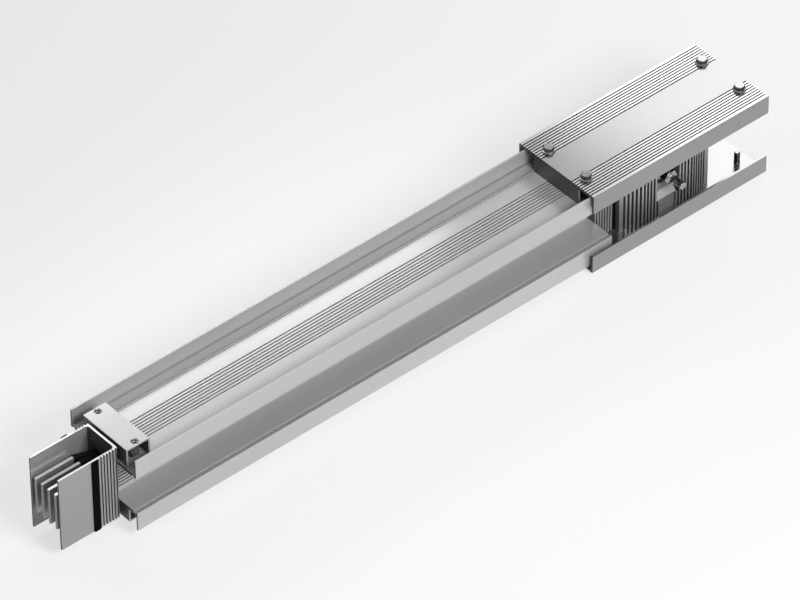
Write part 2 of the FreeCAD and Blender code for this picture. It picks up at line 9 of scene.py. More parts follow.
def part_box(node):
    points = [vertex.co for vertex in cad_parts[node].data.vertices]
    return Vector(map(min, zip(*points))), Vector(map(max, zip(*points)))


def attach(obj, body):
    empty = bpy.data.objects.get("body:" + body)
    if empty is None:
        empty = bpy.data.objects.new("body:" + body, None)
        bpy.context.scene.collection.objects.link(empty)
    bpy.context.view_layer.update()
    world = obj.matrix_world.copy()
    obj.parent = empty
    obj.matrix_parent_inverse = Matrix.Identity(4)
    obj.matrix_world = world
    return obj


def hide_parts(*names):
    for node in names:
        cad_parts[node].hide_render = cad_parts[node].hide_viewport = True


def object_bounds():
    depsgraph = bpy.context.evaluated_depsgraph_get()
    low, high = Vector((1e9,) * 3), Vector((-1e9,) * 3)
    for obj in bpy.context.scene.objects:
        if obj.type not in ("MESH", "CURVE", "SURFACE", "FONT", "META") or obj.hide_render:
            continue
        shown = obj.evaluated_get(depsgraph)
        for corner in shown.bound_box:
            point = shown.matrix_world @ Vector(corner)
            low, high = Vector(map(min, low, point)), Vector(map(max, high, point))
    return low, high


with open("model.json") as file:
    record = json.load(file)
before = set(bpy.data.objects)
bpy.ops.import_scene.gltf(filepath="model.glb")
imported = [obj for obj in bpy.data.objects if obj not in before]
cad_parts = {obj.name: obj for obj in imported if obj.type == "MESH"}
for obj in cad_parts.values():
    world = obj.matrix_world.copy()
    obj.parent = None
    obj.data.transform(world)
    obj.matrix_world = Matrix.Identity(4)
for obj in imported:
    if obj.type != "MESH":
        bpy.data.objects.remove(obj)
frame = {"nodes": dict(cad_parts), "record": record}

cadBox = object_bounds()
nodes = frame["nodes"]
print("frame loaded,", len(nodes), "nodes")


def middleOf(node):
    low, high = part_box(node)
    return (low + high) / 2


jointMiddle = (middleOf("joint_cover_top") + middleOf("joint_cover_bottom")) / 2
wholeMiddle = (cadBox[0] + cadBox[1]) / 2

# The photograph's camera
photoCamera = {
    "azimuth": -40.48,  # degrees, 0 looks along +Y
    "elevation": 41.85,
    "roll": -0.43,
    "fieldOfView": 6.83,  # degrees across the picture
    "distance": 8.4,  # metres from the middle of the piece
    "farthest": 60,  # metres up to which it sees
}


def backVector(azimuth, elevation):
    a, e = math.radians(azimuth), math.radians(elevation)
    return Vector((math.sin(a) * math.cos(e), -math.cos(a) * math.cos(e), math.sin(e)))


def makeCamera():
    data = bpy.data.cameras.new("photoCamera")
    data.sensor_fit = "HORIZONTAL"
    data.angle = math.radians(photoCamera["fieldOfView"])
    data.clip_end = photoCamera["farthest"]
    camera = bpy.data.objects.new("photoCamera", data)
    bpy.context.scene.collection.objects.link(camera)
    back = backVector(photoCamera["azimuth"], photoCamera["elevation"])
    turn = (-back).to_track_quat("-Z", "Y").to_matrix().to_4x4()
    roll = Matrix.Rotation(math.radians(photoCamera["roll"]), 4, "Z")
    place = Matrix.Translation(wholeMiddle + back * photoCamera["distance"])
    camera.matrix_world = place @ turn @ roll
    bpy.context.scene.camera = camera


makeCamera()
print("camera placed")

# The studio: a pale floor, soft lamps and a sky that is a little brighter overhead
studio = {
    "floorSize": 40,
    "floorColour": (0.84, 0.84, 0.84, 1),
    "floorRoughness": 0.9,
    "floorGloss": 0.2,
    "floorGlow": 0.65,  # share of plain white in the floor that is seen
    "horizon": 0.9,  # strength of the sky that is seen, low down and overhead
    "zenith": 1.05,
    "skyCurve": 0.8,
    "skyLight": 0.2,  # strength with which the sky lights the piece
    "lamps": [
        # name, place, what it points at, size, power in watts
        ("topSoftbox", (1.18, 0.47, 0.67), (0.41, 0, 0.07), (0.7, 0.5), 2.8),
        ("backStrip", (-0.2, 0.25, 0.33), (-0.2, 0.045, 0.1), (0.95, 0.06), 0.8),
        ("frontKey", (-0.1, -2.0, 1.9), (0.1, 0, 0.07), (1.0, 0.8), 62),
        ("lowFill", (-0.2, -2.4, 0.62), (0, 0, 0.07), (2.8, 0.4), 10),
    ],
}


def addMath(tree, operation, first, second=None, clamp=False):
    node = tree.nodes.new("ShaderNodeMath")
    node.operation = operation
    node.use_clamp = clamp
    for socket, given in zip(node.inputs, (first, second)):
        if given is None:
            continue
        if isinstance(given, (int, float)):
            socket.default_value = given
        else:
            tree.links.new(given, socket)
    return node.outputs[0]


def addRange(tree, value, low, high, fromLow=0.0, fromHigh=1.0):
    node = tree.nodes.new("ShaderNodeMapRange")
    node.inputs["From Min"].default_value = fromLow
    node.inputs["From Max"].default_value = fromHigh
    node.inputs["To Min"].default_value = low
    node.inputs["To Max"].default_value = high
    tree.links.new(value, node.inputs["Value"])
    return node.outputs["Result"]


def seenRays(tree):
    # 1 for what the camera sees, directly or in metal and glass
    path = tree.nodes.new("ShaderNodeLightPath")
    glossy, clear = path.outputs["Is Glossy Ray"], path.outputs["Is Transmission Ray"]
    mirrored = addMath(tree, "MAXIMUM", glossy, clear)
    return addMath(tree, "MAXIMUM", path.outputs["Is Camera Ray"], mirrored)


def makeFloor():
    bpy.ops.mesh.primitive_plane_add(size=studio["floorSize"], location=(0, 0, 0))
    floor = bpy.context.object
    floor.name = "floor"
    material = bpy.data.materials.new("floorPaper")
    material.use_nodes = True
    tree = material.node_tree
    shader = tree.nodes["Principled BSDF"]
    shader.inputs["Base Color"].default_value = studio["floorColour"]
    shader.inputs["Roughness"].default_value = studio["floorRoughness"]
    shader.inputs["Specular IOR Level"].default_value = studio["floorGloss"]
    white = tree.nodes.new("ShaderNodeEmission")
    mix = tree.nodes.new("ShaderNodeMixShader")
    share = addMath(tree, "MULTIPLY", seenRays(tree), studio["floorGlow"])
    tree.links.new(share, mix.inputs[0])
    tree.links.new(shader.outputs[0], mix.inputs[1])
    tree.links.new(white.outputs[0], mix.inputs[2])
    tree.links.new(mix.outputs[0], tree.nodes["Material Output"].inputs["Surface"])
    floor.data.materials.append(material)


def makeSky():
    world = bpy.data.worlds.new("studioSky")
    bpy.context.scene.world = world
    world.use_nodes = True
    tree = world.node_tree
    tree.nodes.clear()
    direction = tree.nodes.new("ShaderNodeTexCoord")
    parts = tree.nodes.new("ShaderNodeSeparateXYZ")
    tree.links.new(direction.outputs["Generated"], parts.inputs[0])
    above = addMath(tree, "MAXIMUM", parts.outputs["Z"], 0)
    height = addMath(tree, "POWER", above, studio["skyCurve"])
    shown = tree.nodes.new("ShaderNodeBackground")
    level = addRange(tree, height, studio["horizon"], studio["zenith"])
    tree.links.new(level, shown.inputs["Strength"])
    plain = tree.nodes.new("ShaderNodeBackground")
    plain.inputs["Strength"].default_value = studio["skyLight"]
    mix = tree.nodes.new("ShaderNodeMixShader")
    out = tree.nodes.new("ShaderNodeOutputWorld")
    tree.links.new(seenRays(tree), mix.inputs[0])
    tree.links.new(plain.outputs[0], mix.inputs[1])
    tree.links.new(shown.outputs[0], mix.inputs[2])
    tree.links.new(mix.outputs[0], out.inputs["Surface"])


def makeLamps():
    for name, place, goal, size, energy in studio["lamps"]:
        data = bpy.data.lights.new(name, "AREA")
        data.shape = "RECTANGLE"
        data.size, data.size_y = size
        data.energy = energy
        lamp = bpy.data.objects.new(name, data)
        bpy.context.scene.collection.objects.link(lamp)
        lamp.visible_camera = False
        turn = (Vector(goal) - Vector(place)).to_track_quat("-Z", "Y").to_matrix().to_4x4()
        lamp.matrix_world = Matrix.Translation(place) @ turn


makeFloor()
makeSky()
makeLamps()
bpy.context.scene.view_settings.view_transform = "Standard"
print("studio ready")


# Shader node groups shared by the materials
effects = {
    "edgeSamples": 6,
    "edgeGain": 12,  # how fast the edge mask rises where the surface turns
    "lineStretch": (0.006, 1, 1),  # drawn lines run along X
    "patchStretch": (0.35, 1, 1),
    "sawnFacing": 0.6,  # how far a face looks along X when it counts as sawn
    "levelFacing": 0.9,  # how far it looks up or down when it counts as level
    "sawOffset": (0, 0.16, 0.1),  # from the middle of the saw's arcs to the origin
    "cornerSamples": 8,
    "cornerOpenness": (0.35, 0.95),  # where the shade of a corner is full, and where it ends
}


def newGroup(name, inputs, outputs):
    group = bpy.data.node_groups.new(name, "ShaderNodeTree")
    for label, kind, default in inputs:
        socket = group.interface.new_socket(label, in_out="INPUT", socket_type=kind)
        socket.default_value = default
    for label, kind in outputs:
        group.interface.new_socket(label, in_out="OUTPUT", socket_type=kind)
    return group, group.nodes.new("NodeGroupInput"), group.nodes.new("NodeGroupOutput")


def addNoise(tree, vector, scale, detail, roughness):
    node = tree.nodes.new("ShaderNodeTexNoise")
    node.inputs["Detail"].default_value = detail
    node.inputs["Roughness"].default_value = roughness
    tree.links.new(scale, node.inputs["Scale"])
    tree.links.new(vector, node.inputs["Vector"])
    return node.outputs["Fac"]


def makeRoundedEdge():
    # Where two faces meet, the light runs round a small radius; the mask marks that line
    group, given, result = newGroup(
        "roundedEdge",
        [("Radius", "NodeSocketFloat", 0.0004)],
        [("Edge", "NodeSocketFloat"), ("Normal", "NodeSocketVector")],
    )
    bevel = group.nodes.new("ShaderNodeBevel")
    bevel.samples = effects["edgeSamples"]
    group.links.new(given.outputs["Radius"], bevel.inputs["Radius"])
    geometry = group.nodes.new("ShaderNodeNewGeometry")
    dot = group.nodes.new("ShaderNodeVectorMath")
    dot.operation = "DOT_PRODUCT"
    group.links.new(bevel.outputs["Normal"], dot.inputs[0])
    group.links.new(geometry.outputs["True Normal"], dot.inputs[1])
    away = addMath(group, "SUBTRACT", 1, dot.outputs["Value"])
    edge = addMath(group, "MULTIPLY", away, effects["edgeGain"], clamp=True)
    group.links.new(edge, result.inputs["Edge"])
    group.links.new(bevel.outputs["Normal"], result.inputs["Normal"])
    return group


def makeDrawnGrain():
    # Fine lines that the die leaves along the length, with soft cloudy patches over them
    group, given, result = newGroup(
        "drawnGrain",
        [("Lines", "NodeSocketFloat", 900.0), ("Patches", "NodeSocketFloat", 9.0)],
        [("Lines", "NodeSocketFloat"), ("Patches", "NodeSocketFloat")],
    )
    coordinates = group.nodes.new("ShaderNodeTexCoord")
    stretch = group.nodes.new("ShaderNodeMapping")
    stretch.inputs["Scale"].default_value = effects["lineStretch"]
    group.links.new(coordinates.outputs["Object"], stretch.inputs["Vector"])
    lines = addNoise(
        group, stretch.outputs["Vector"], given.outputs["Lines"], detail=4, roughness=0.6
    )
    longer = group.nodes.new("ShaderNodeMapping")
    longer.inputs["Scale"].default_value = effects["patchStretch"]
    group.links.new(coordinates.outputs["Object"], longer.inputs["Vector"])
    patches = addNoise(
        group, longer.outputs["Vector"], given.outputs["Patches"], detail=2, roughness=0.5
    )
    group.links.new(lines, result.inputs["Lines"])
    group.links.new(patches, result.inputs["Patches"])
    return group


def makeSawnEnd():
    # Mask marks the faces that look along the length, which were sawn, and Arcs is the
    # saw's pattern. Level marks the faces that look up or down: the cut rims of upright
    # plates and the tops of bolt heads. The materials use these masks for painted shade on
    # the sawn ends, a painted highlight on level rims, painted shade on the flanks of bolts
    # and painted light on those of the inserts.
    group, given, result = newGroup(
        "sawnEnd",
        [("Spacing", "NodeSocketFloat", 1100.0)],
        [
            ("Mask", "NodeSocketFloat"),
            ("Arcs", "NodeSocketFloat"),
            ("Level", "NodeSocketFloat"),
        ],
    )
    geometry = group.nodes.new("ShaderNodeNewGeometry")
    normal = group.nodes.new("ShaderNodeSeparateXYZ")
    group.links.new(geometry.outputs["True Normal"], normal.inputs[0])
    along = addMath(group, "ABSOLUTE", normal.outputs["X"])
    mask = addMath(group, "GREATER_THAN", along, effects["sawnFacing"])
    upward = addMath(group, "ABSOLUTE", normal.outputs["Z"])
    level = addMath(group, "GREATER_THAN", upward, effects["levelFacing"])
    coordinates = group.nodes.new("ShaderNodeTexCoord")
    move = group.nodes.new("ShaderNodeMapping")
    move.inputs["Location"].default_value = effects["sawOffset"]
    move.inputs["Scale"].default_value = (0, 1, 1)  # the arcs don't change along X
    group.links.new(coordinates.outputs["Object"], move.inputs["Vector"])
    length = group.nodes.new("ShaderNodeVectorMath")
    length.operation = "LENGTH"
    group.links.new(move.outputs["Vector"], length.inputs[0])
    wide = group.nodes.new("ShaderNodeCombineXYZ")
    group.links.new(length.outputs["Value"], wide.inputs["X"])
    arcs = addNoise(
        group, wide.outputs[0], given.outputs["Spacing"], detail=3, roughness=0.7
    )
    group.links.new(mask, result.inputs["Mask"])
    group.links.new(arcs, result.inputs["Arcs"])
    group.links.new(level, result.inputs["Level"])
    return group


def makeGrooveShade(name, own):
    # Painted shade: darkens the base colour in grooves and inner corners, where less light
    # comes in. With own, only the piece's own corners count, and not those with its
    # neighbours.
    group, given, result = newGroup(
        name,
        [("Reach", "NodeSocketFloat", 0.004)],
        [("Shade", "NodeSocketFloat")],
    )
    closed = group.nodes.new("ShaderNodeAmbientOcclusion")
    closed.samples = effects["cornerSamples"]
    closed.only_local = own
    group.links.new(given.outputs["Reach"], closed.inputs["Distance"])
    shade = addRange(group, closed.outputs["AO"], 1, 0, *effects["cornerOpenness"])
    group.links.new(shade, result.inputs["Shade"])
    return group


def makeSpeckle():
    # The fine grit of an etched or anodised surface
    group, given, result = newGroup(
        "speckle",
        [("Size", "NodeSocketFloat", 1400.0)],
        [("Speckle", "NodeSocketFloat")],
    )
    coordinates = group.nodes.new("ShaderNodeTexCoord")
    speckle = addNoise(
        group, coordinates.outputs["Object"], given.outputs["Size"], detail=2, roughness=0.6
    )
    group.links.new(speckle, result.inputs["Speckle"])
    return group


shared = {
    "edge": makeRoundedEdge(),
    "grain": makeDrawnGrain(),
    "sawn": makeSawnEnd(),
    "speckle": makeSpeckle(),
    "groove": makeGrooveShade("grooveShade", True),
    "contact": makeGrooveShade("contactShade", False),
}
print("node groups made")


# Materials. Each span is the part of a noise, from 0 to 1, over which its effect grows.
def startMaterial(name, colour, metallic, roughness):
    material = bpy.data.materials.new(name)
    material.use_nodes = True
    shader = material.node_tree.nodes["Principled BSDF"]
    shader.inputs["Base Color"].default_value = (*colour, 1)
    shader.inputs["Metallic"].default_value = metallic
    shader.inputs["Roughness"].default_value = roughness
    return material, material.node_tree, shader


def placeGroup(tree, key, **values):
    node = tree.nodes.new("ShaderNodeGroup")
    node.node_tree = shared[key]
    for label, number in values.items():
        node.inputs[label].default_value = number
    return node


def mixColours(tree, factor, first, second):
    node = tree.nodes.new("ShaderNodeMix")
    node.data_type = "RGBA"
    tree.links.new(factor, node.inputs["Factor"])
    # A Mix node's sockets 6 and 7 and its output 2 are those for colours
    for socket, colour in ((node.inputs[6], first), (node.inputs[7], second)):
        if isinstance(colour, tuple):
            socket.default_value = (*colour, 1)
        else:
            tree.links.new(colour, socket)
    return node.outputs[2]


def addBump(tree, height, strength, distance, normal):
    node = tree.nodes.new("ShaderNodeBump")
    node.inputs["Strength"].default_value = strength
    node.inputs["Distance"].default_value = distance
    tree.links.new(height, node.inputs["Height"])
    if normal:
        tree.links.new(normal, node.inputs["Normal"])
    return node.outputs["Normal"]


def addRibBands(tree, bands):
    # The cover's grooves and the rib tops beside them, told apart by height and width, for
    # painted shade in the grooves and a painted highlight on the rib tops
    coordinates = tree.nodes.new("ShaderNodeTexCoord")
    move = tree.nodes.new("ShaderNodeMapping")
    move.inputs["Location"].default_value = -jointMiddle
    tree.links.new(coordinates.outputs["Object"], move.inputs["Vector"])
    parts = tree.nodes.new("ShaderNodeSeparateXYZ")
    tree.links.new(move.outputs["Vector"], parts.inputs[0])
    across = addMath(tree, "ABSOLUTE", parts.outputs["Y"])
    height = addMath(tree, "ABSOLUTE", parts.outputs["Z"])
    face = addMath(tree, "GREATER_THAN", height, bands["face"])
    deep = addMath(tree, "GREATER_THAN", height, bands["floor"])
    sunk = addMath(tree, "SUBTRACT", deep, face)
    groove = addMath(tree, "MULTIPLY", sunk, addMath(tree, "LESS_THAN", across, bands["outer"]))
    rib = addMath(tree, "MULTIPLY", face, addMath(tree, "GREATER_THAN", across, bands["inner"]))
    return groove, rib


def makeExtruded(name, look):
    material, tree, shader = startMaterial(
        name, look["colour"], look["metallic"], look["roughness"]
    )
    edge = placeGroup(tree, "edge", Radius=look["edgeRadius"])
    grain = placeGroup(tree, "grain", Lines=look["lines"], Patches=look["patches"])
    sawn = placeGroup(tree, "sawn")
    speckle = placeGroup(tree, "speckle", Size=look["speckle"])
    # Colour: cloudy patches and grit, then painted shade on sawn ends, painted highlight on
    # level rims, painted shade in grooves and painted highlight along the edges
    darker = tuple(channel * look["shade"] for channel in look["colour"])
    lighter = tuple(min(1, channel * look["glow"]) for channel in look["colour"])
    patch = addRange(tree, grain.outputs["Patches"], 0, 1, *look["patchSpan"])
    colour = mixColours(tree, patch, darker, lighter)
    grit = addRange(tree, speckle.outputs["Speckle"], 0, look["grit"], *look["gritSpan"])
    colour = mixColours(tree, grit, colour, lighter)
    # Painted shade: the sawn ends are darkened
    colour = mixColours(tree, sawn.outputs["Mask"], colour, look["sawnEndShadeColour"])
    # Painted highlight: the level faces, the rims of upright plates, are lightened
    rim = addMath(tree, "MULTIPLY", sawn.outputs["Level"], look["levelHighlightShare"])
    colour = mixColours(tree, rim, colour, look["levelHighlightColour"])
    # Painted shade in grooves and inner corners
    groove = placeGroup(tree, "groove", Reach=look["paintedShadeReach"])
    closed = addMath(tree, "MULTIPLY", groove.outputs["Shade"], look["paintedShadeStrength"], clamp=True)
    colour = mixColours(tree, closed, colour, look["paintedShadeColour"])
    if look["bands"]:
        # Painted highlight on the cover's rib tops and painted shade in its grooves
        sunk, rib = addRibBands(tree, look["bands"])
        colour = mixColours(tree, rib, colour, look["bands"]["ribHighlightColour"])
        colour = mixColours(tree, sunk, colour, look["paintedShadeColour"])
    # Painted highlight along the edges, left off the sawn ends
    paintedHighlight = addMath(tree, "MULTIPLY", edge.outputs["Edge"], look["edgeHighlight"], clamp=True)
    along = addMath(tree, "SUBTRACT", 1, sawn.outputs["Mask"])
    paintedHighlight = addMath(tree, "MULTIPLY", paintedHighlight, along, clamp=True)
    colour = mixColours(tree, paintedHighlight, colour, look["edgeHighlightColour"])
    tree.links.new(colour, shader.inputs["Base Color"])
    # Roughness follows the lines, and the sawn ends are coarser
    smooth = look["roughness"] - look["roughnessSpread"]
    coarse = look["roughness"] + look["roughnessSpread"]
    drawn = addRange(tree, grain.outputs["Lines"], smooth, coarse, *look["lineSpan"])
    cut = addRange(tree, sawn.outputs["Arcs"], *look["sawnRoughness"], *look["lineSpan"])
    roughMix = tree.nodes.new("ShaderNodeMix")
    tree.links.new(sawn.outputs["Mask"], roughMix.inputs["Factor"])
    tree.links.new(drawn, roughMix.inputs[2])
    tree.links.new(cut, roughMix.inputs[3])
    tree.links.new(roughMix.outputs[0], shader.inputs["Roughness"])
    # Bump: drawn lines on the long faces, saw arcs on the ends
    height = tree.nodes.new("ShaderNodeMix")
    tree.links.new(sawn.outputs["Mask"], height.inputs["Factor"])
    tree.links.new(grain.outputs["Lines"], height.inputs[2])
    tree.links.new(sawn.outputs["Arcs"], height.inputs[3])
    normal = edge.outputs["Normal"] if look["roundNormal"] else None
    bump = addBump(tree, height.outputs[0], look["bump"], look["bumpDistance"], normal)
    tree.links.new(bump, shader.inputs["Normal"])
    return material


satin = {
    "colour": (0.46, 0.464, 0.468),
    "metallic": 0.35,
    "roughness": 0.28,
    "roughnessSpread": 0.006,
    "edgeRadius": 0.0004,
    # Painted highlight along the edges
    "edgeHighlightColour": (0.95, 0.95, 0.95),
    # Painted shade on the sawn ends
    "sawnEndShadeColour": (0.06, 0.06, 0.06),
    "sawnRoughness": (0.3, 0.6),
    # Painted shade in grooves and inner corners: its colour, reach and strength
    "paintedShadeColour": (0.05, 0.05, 0.05),
    "paintedShadeReach": 0.0035,
    "paintedShadeStrength": 0.8,
    "edgeHighlight": 0.7,
    # Painted highlight on the level rims
    "levelHighlightColour": (0.9, 0.9, 0.9),
    "levelHighlightShare": 0.0,
    "lines": 1500.0,
    "patches": 7.0,
    "speckle": 1500.0,
    "patchSpan": (0.35, 0.65),
    "gritSpan": (0.4, 0.7),
    "lineSpan": (0.3, 0.7),
    "shade": 0.95,
    "glow": 1.05,
    "grit": 0.5,
    "bump": 0.005,
    "bumpDistance": 0.0002,
    "roundNormal": True,
    "bands": None,
}
# The cover's ribs: distances from the joint's middle, up and across, and the colour of
# the painted highlight on the rib tops
coverBands = {
    "face": 0.0635,
    "floor": 0.0622,
    "outer": 0.067,
    "inner": 0.0285,
    "ribHighlightColour": (0.5, 0.505, 0.51),
}
finishes = {
    "housing_aluminium": dict(satin),
    "side_aluminium": dict(satin, colour=(0.5, 0.505, 0.51)),
    "bracket_aluminium": dict(
        satin, colour=(0.27, 0.274, 0.278), metallic=0.2, glow=1.12, levelHighlightShare=0.9
    ),
    "clip_aluminium": dict(
        satin,
        colour=(0.49, 0.495, 0.5),
        metallic=0.5,
        roughness=0.4,
        grit=0.9,
        glow=1.12,
        paintedShadeStrength=0.3,
    ),
    "cover_aluminium": dict(
        satin,
        colour=(0.31, 0.314, 0.318),
        metallic=0.85,
        roughness=0.2,
        paintedShadeStrength=0.0,
        edgeHighlight=0.0,
        roundNormal=False,
        bands=coverBands,
    ),
    "stack_aluminium": dict(
        satin,
        colour=(0.36, 0.364, 0.368),
        metallic=0.6,
        roughness=0.4,
        sawnEndShadeColour=(0.14, 0.14, 0.14),
        paintedShadeColour=(0.09, 0.09, 0.09),
        paintedShadeStrength=0.6,
    ),
    "conductor": dict(
        satin,
        colour=(0.42, 0.42, 0.415),
        metallic=0.6,
        paintedShadeStrength=0.3,
        levelHighlightShare=0.9,
        bump=0.004,
        sawnEndShadeColour=(0.24, 0.24, 0.24),
    ),
    "splice": dict(satin, colour=(0.6, 0.6, 0.59), metallic=0.6, paintedShadeStrength=0.2),
}


def addGritFinish(tree, shader, look, speckle, edge):
    # Roughness and bump from the grit, with rounded edges
    smooth = look["roughness"] - look["smoother"]
    coarse = look["roughness"] + look["rougher"]
    rough = addRange(tree, speckle.outputs["Speckle"], smooth, coarse, *look["roughSpan"])
    tree.links.new(rough, shader.inputs["Roughness"])
    normal = edge.outputs["Normal"]
    bump = addBump(tree, speckle.outputs["Speckle"], look["bump"], look["bumpDistance"], normal)
    tree.links.new(bump, shader.inputs["Normal"])


def makePlastic(name, look):
    material, tree, shader = startMaterial(name, look["colour"], 0, look["roughness"])
    shader.inputs["Specular IOR Level"].default_value = look["gloss"]
    edge = placeGroup(tree, "edge", Radius=look["edgeRadius"])
    speckle = placeGroup(tree, "speckle", Size=look["speckle"])
    lighter = tuple(channel * look["glow"] for channel in look["colour"])
    grit = addRange(tree, speckle.outputs["Speckle"], 0, 1, *look["gritSpan"])
    colour = mixColours(tree, grit, look["colour"], lighter)
    # Painted highlight along the edges
    paintedHighlight = addMath(tree, "MULTIPLY", edge.outputs["Edge"], look["edgeHighlight"], clamp=True)
    colour = mixColours(tree, paintedHighlight, colour, look["edgeHighlightColour"])
    tree.links.new(colour, shader.inputs["Base Color"])
    addGritFinish(tree, shader, look, speckle, edge)
    return material


dark = {
    "colour": (0.012, 0.012, 0.0125),
    "roughness": 0.55,
    "smoother": 0.08,
    "rougher": 0.08,
    "roughSpan": (0.3, 0.7),
    "gloss": 0.25,
    "edgeRadius": 0.0004,
    # Painted highlight along the edges
    "edgeHighlightColour": (0.07, 0.07, 0.07),
    "edgeHighlight": 0.5,
    "speckle": 900.0,
    "gritSpan": (0.35, 0.7),
    "glow": 1.6,
    "bump": 0.25,
    "bumpDistance": 0.0003,
}
darkFinishes = {
    "sleeve_film": dict(
        dark,
        colour=(0.006, 0.006, 0.0065),
        roughness=0.35,
        gloss=0.05,
        bump=0.08,
        speckle=300.0,
    ),
    "insulator": dict(dark, colour=(0.02, 0.02, 0.021), roughness=0.5),
    "gasket_rubber": dict(
        dark,
        colour=(0.004, 0.004, 0.0045),
        edgeHighlightColour=(0.016, 0.016, 0.016),
        roughness=0.8,
        gloss=0.0,
        bump=0.6,
        speckle=1300.0,
    ),
}


def makeSteel(name, look):
    material, tree, shader = startMaterial(name, look["colour"], 1, look["roughness"])
    edge = placeGroup(tree, "edge", Radius=look["edgeRadius"])
    speckle = placeGroup(tree, "speckle", Size=look["speckle"])
    lighter = tuple(min(1, channel * look["glow"]) for channel in look["colour"])
    grit = addRange(tree, speckle.outputs["Speckle"], 0, 1, *look["gritSpan"])
    colour = mixColours(tree, grit, look["colour"], lighter)
    sawn = placeGroup(tree, "sawn")
    # Painted light and shade: the flanks, faces that aren't level, get a tone of their own
    colour = mixColours(tree, sawn.outputs["Level"], look["paintedFlankShading"], colour)
    # Painted shade in corners and where the piece meets its neighbours
    contact = placeGroup(tree, "contact", Reach=look["paintedShadeReach"])
    closed = addMath(tree, "MULTIPLY", contact.outputs["Shade"], look["paintedShadeStrength"], clamp=True)
    colour = mixColours(tree, closed, colour, look["paintedShadeColour"])
    # Painted highlight along the edges
    paintedHighlight = addMath(tree, "MULTIPLY", edge.outputs["Edge"], look["edgeHighlight"], clamp=True)
    colour = mixColours(tree, paintedHighlight, colour, look["edgeHighlightColour"])
    tree.links.new(colour, shader.inputs["Base Color"])
    addGritFinish(tree, shader, look, speckle, edge)
    return material


steel = {
    "colour": (0.62, 0.62, 0.63),
    # Painted shade: the flanks of the bolts are darker than their level faces
    "paintedFlankShading": (0.34, 0.34, 0.345),  # faces that aren't level
    # Painted shade in corners and where the piece meets its neighbours
    "paintedShadeColour": (0.02, 0.02, 0.02),
    "paintedShadeReach": 0.008,
    "paintedShadeStrength": 1.3,
    # Painted highlight along the edges
    "edgeHighlightColour": (0.95, 0.95, 0.95),
    "edgeHighlight": 0.8,
    "roughness": 0.14,
    "smoother": 0.04,
    "rougher": 0.06,
    "roughSpan": (0.35, 0.65),
    "edgeRadius": 0.0006,
    "speckle": 500.0,
    "gritSpan": (0.4, 0.65),
    "glow": 1.12,
    "bump": 0.06,
    "bumpDistance": 0.0001,
}
steelFinishes = {
    "bolt_steel": dict(steel),
    "coverBoltSteel": dict(
        steel,
        colour=(0.27, 0.27, 0.275),
        paintedFlankShading=(0.07, 0.07, 0.072),
        paintedShadeReach=0.004,
        paintedShadeStrength=0.9,
        edgeHighlight=0.0,
        bump=0.02,
    ),
    "insert_steel": dict(
        steel,
        # Painted light and shade: the inserts' level faces are darker, the ring round the bore,
        # and their flanks lighter, the shank
        colour=(0.24, 0.24, 0.245),
        paintedFlankShading=(0.5, 0.5, 0.51),
        paintedShadeColour=(0.01, 0.01, 0.01),
        paintedShadeReach=0.003,
        paintedShadeStrength=1.1,
        edgeHighlightColour=(0.6, 0.6, 0.61),
        edgeHighlight=0.0,
        roughness=0.25,
        edgeRadius=0.0004,
        speckle=700.0,
        bump=0.1,
    ),
}

materials = {name: makeExtruded(name, look) for name, look in finishes.items()}
materials.update({name: makePlastic(name, look) for name, look in darkFinishes.items()})
materials.update({name: makeSteel(name, look) for name, look in steelFinishes.items()})
print("materials made:", len(materials))


def dressNodes():
    slots = {row["node"]: row["material_slot"] for row in frame["record"]["subparts"]}
    for name, thing in nodes.items():
        if not thing.material_slots:
            thing.data.materials.append(None)
        for slot in thing.material_slots:
            slot.material = materials[slots[name]]


dressNodes()
print("CAD nodes dressed")

# Modelling helpers: rings and prisms are drawn out step by step, along Z from the origin
modelling = {
    "weld": 1e-7,  # metres between points that become one
    "seamWeld": 4e-6,  # the same along the seams of joined pieces
    "sliver": 2e-6,  # edges shorter than this are dissolved
    "softAngle": 40,  # degrees up to which the light runs round an edge
    "chamferSlope": 0.6,
    "chamferReach": 1.02,  # how far past the corners the chamfering cone starts
    "threadSink": 0.1,  # share of the thread's depth that is let into the core
    "threadRoot": 0.46,  # half widths, as shares of the pitch
    "threadCrest": 0.08,
    "threadSteps": 20,  # for each turn
}


def setMode(mode):
    bpy.ops.object.mode_set(mode=mode)


def onlySelect(thing):
    bpy.ops.object.select_all(action="DESELECT")
    thing.select_set(True)
    bpy.context.view_layer.objects.active = thing


def selectWhere(piece, wanted):
    # In edit mode, selects the faces for which wanted says yes
    mesh = bmesh.from_edit_mesh(piece.data)
    for face in mesh.faces:
        face.select_set(bool(wanted(face)))
    mesh.select_flush_mode()
    bmesh.update_edit_mesh(piece.data)


def drawOut(steps):
    # Extrudes what is selected through pairs of radius and height
    radius, height = steps[0]
    for nextRadius, nextHeight in steps[1:]:
        bpy.ops.mesh.extrude_region_move(
            TRANSFORM_OT_translate={"value": (0, 0, nextHeight - height)}
        )
        share = nextRadius / radius
        if share != 1:
            bpy.ops.transform.resize(
                value=(share, share, 1), center_override=(0, 0, nextHeight)
            )
        radius, height = nextRadius, nextHeight


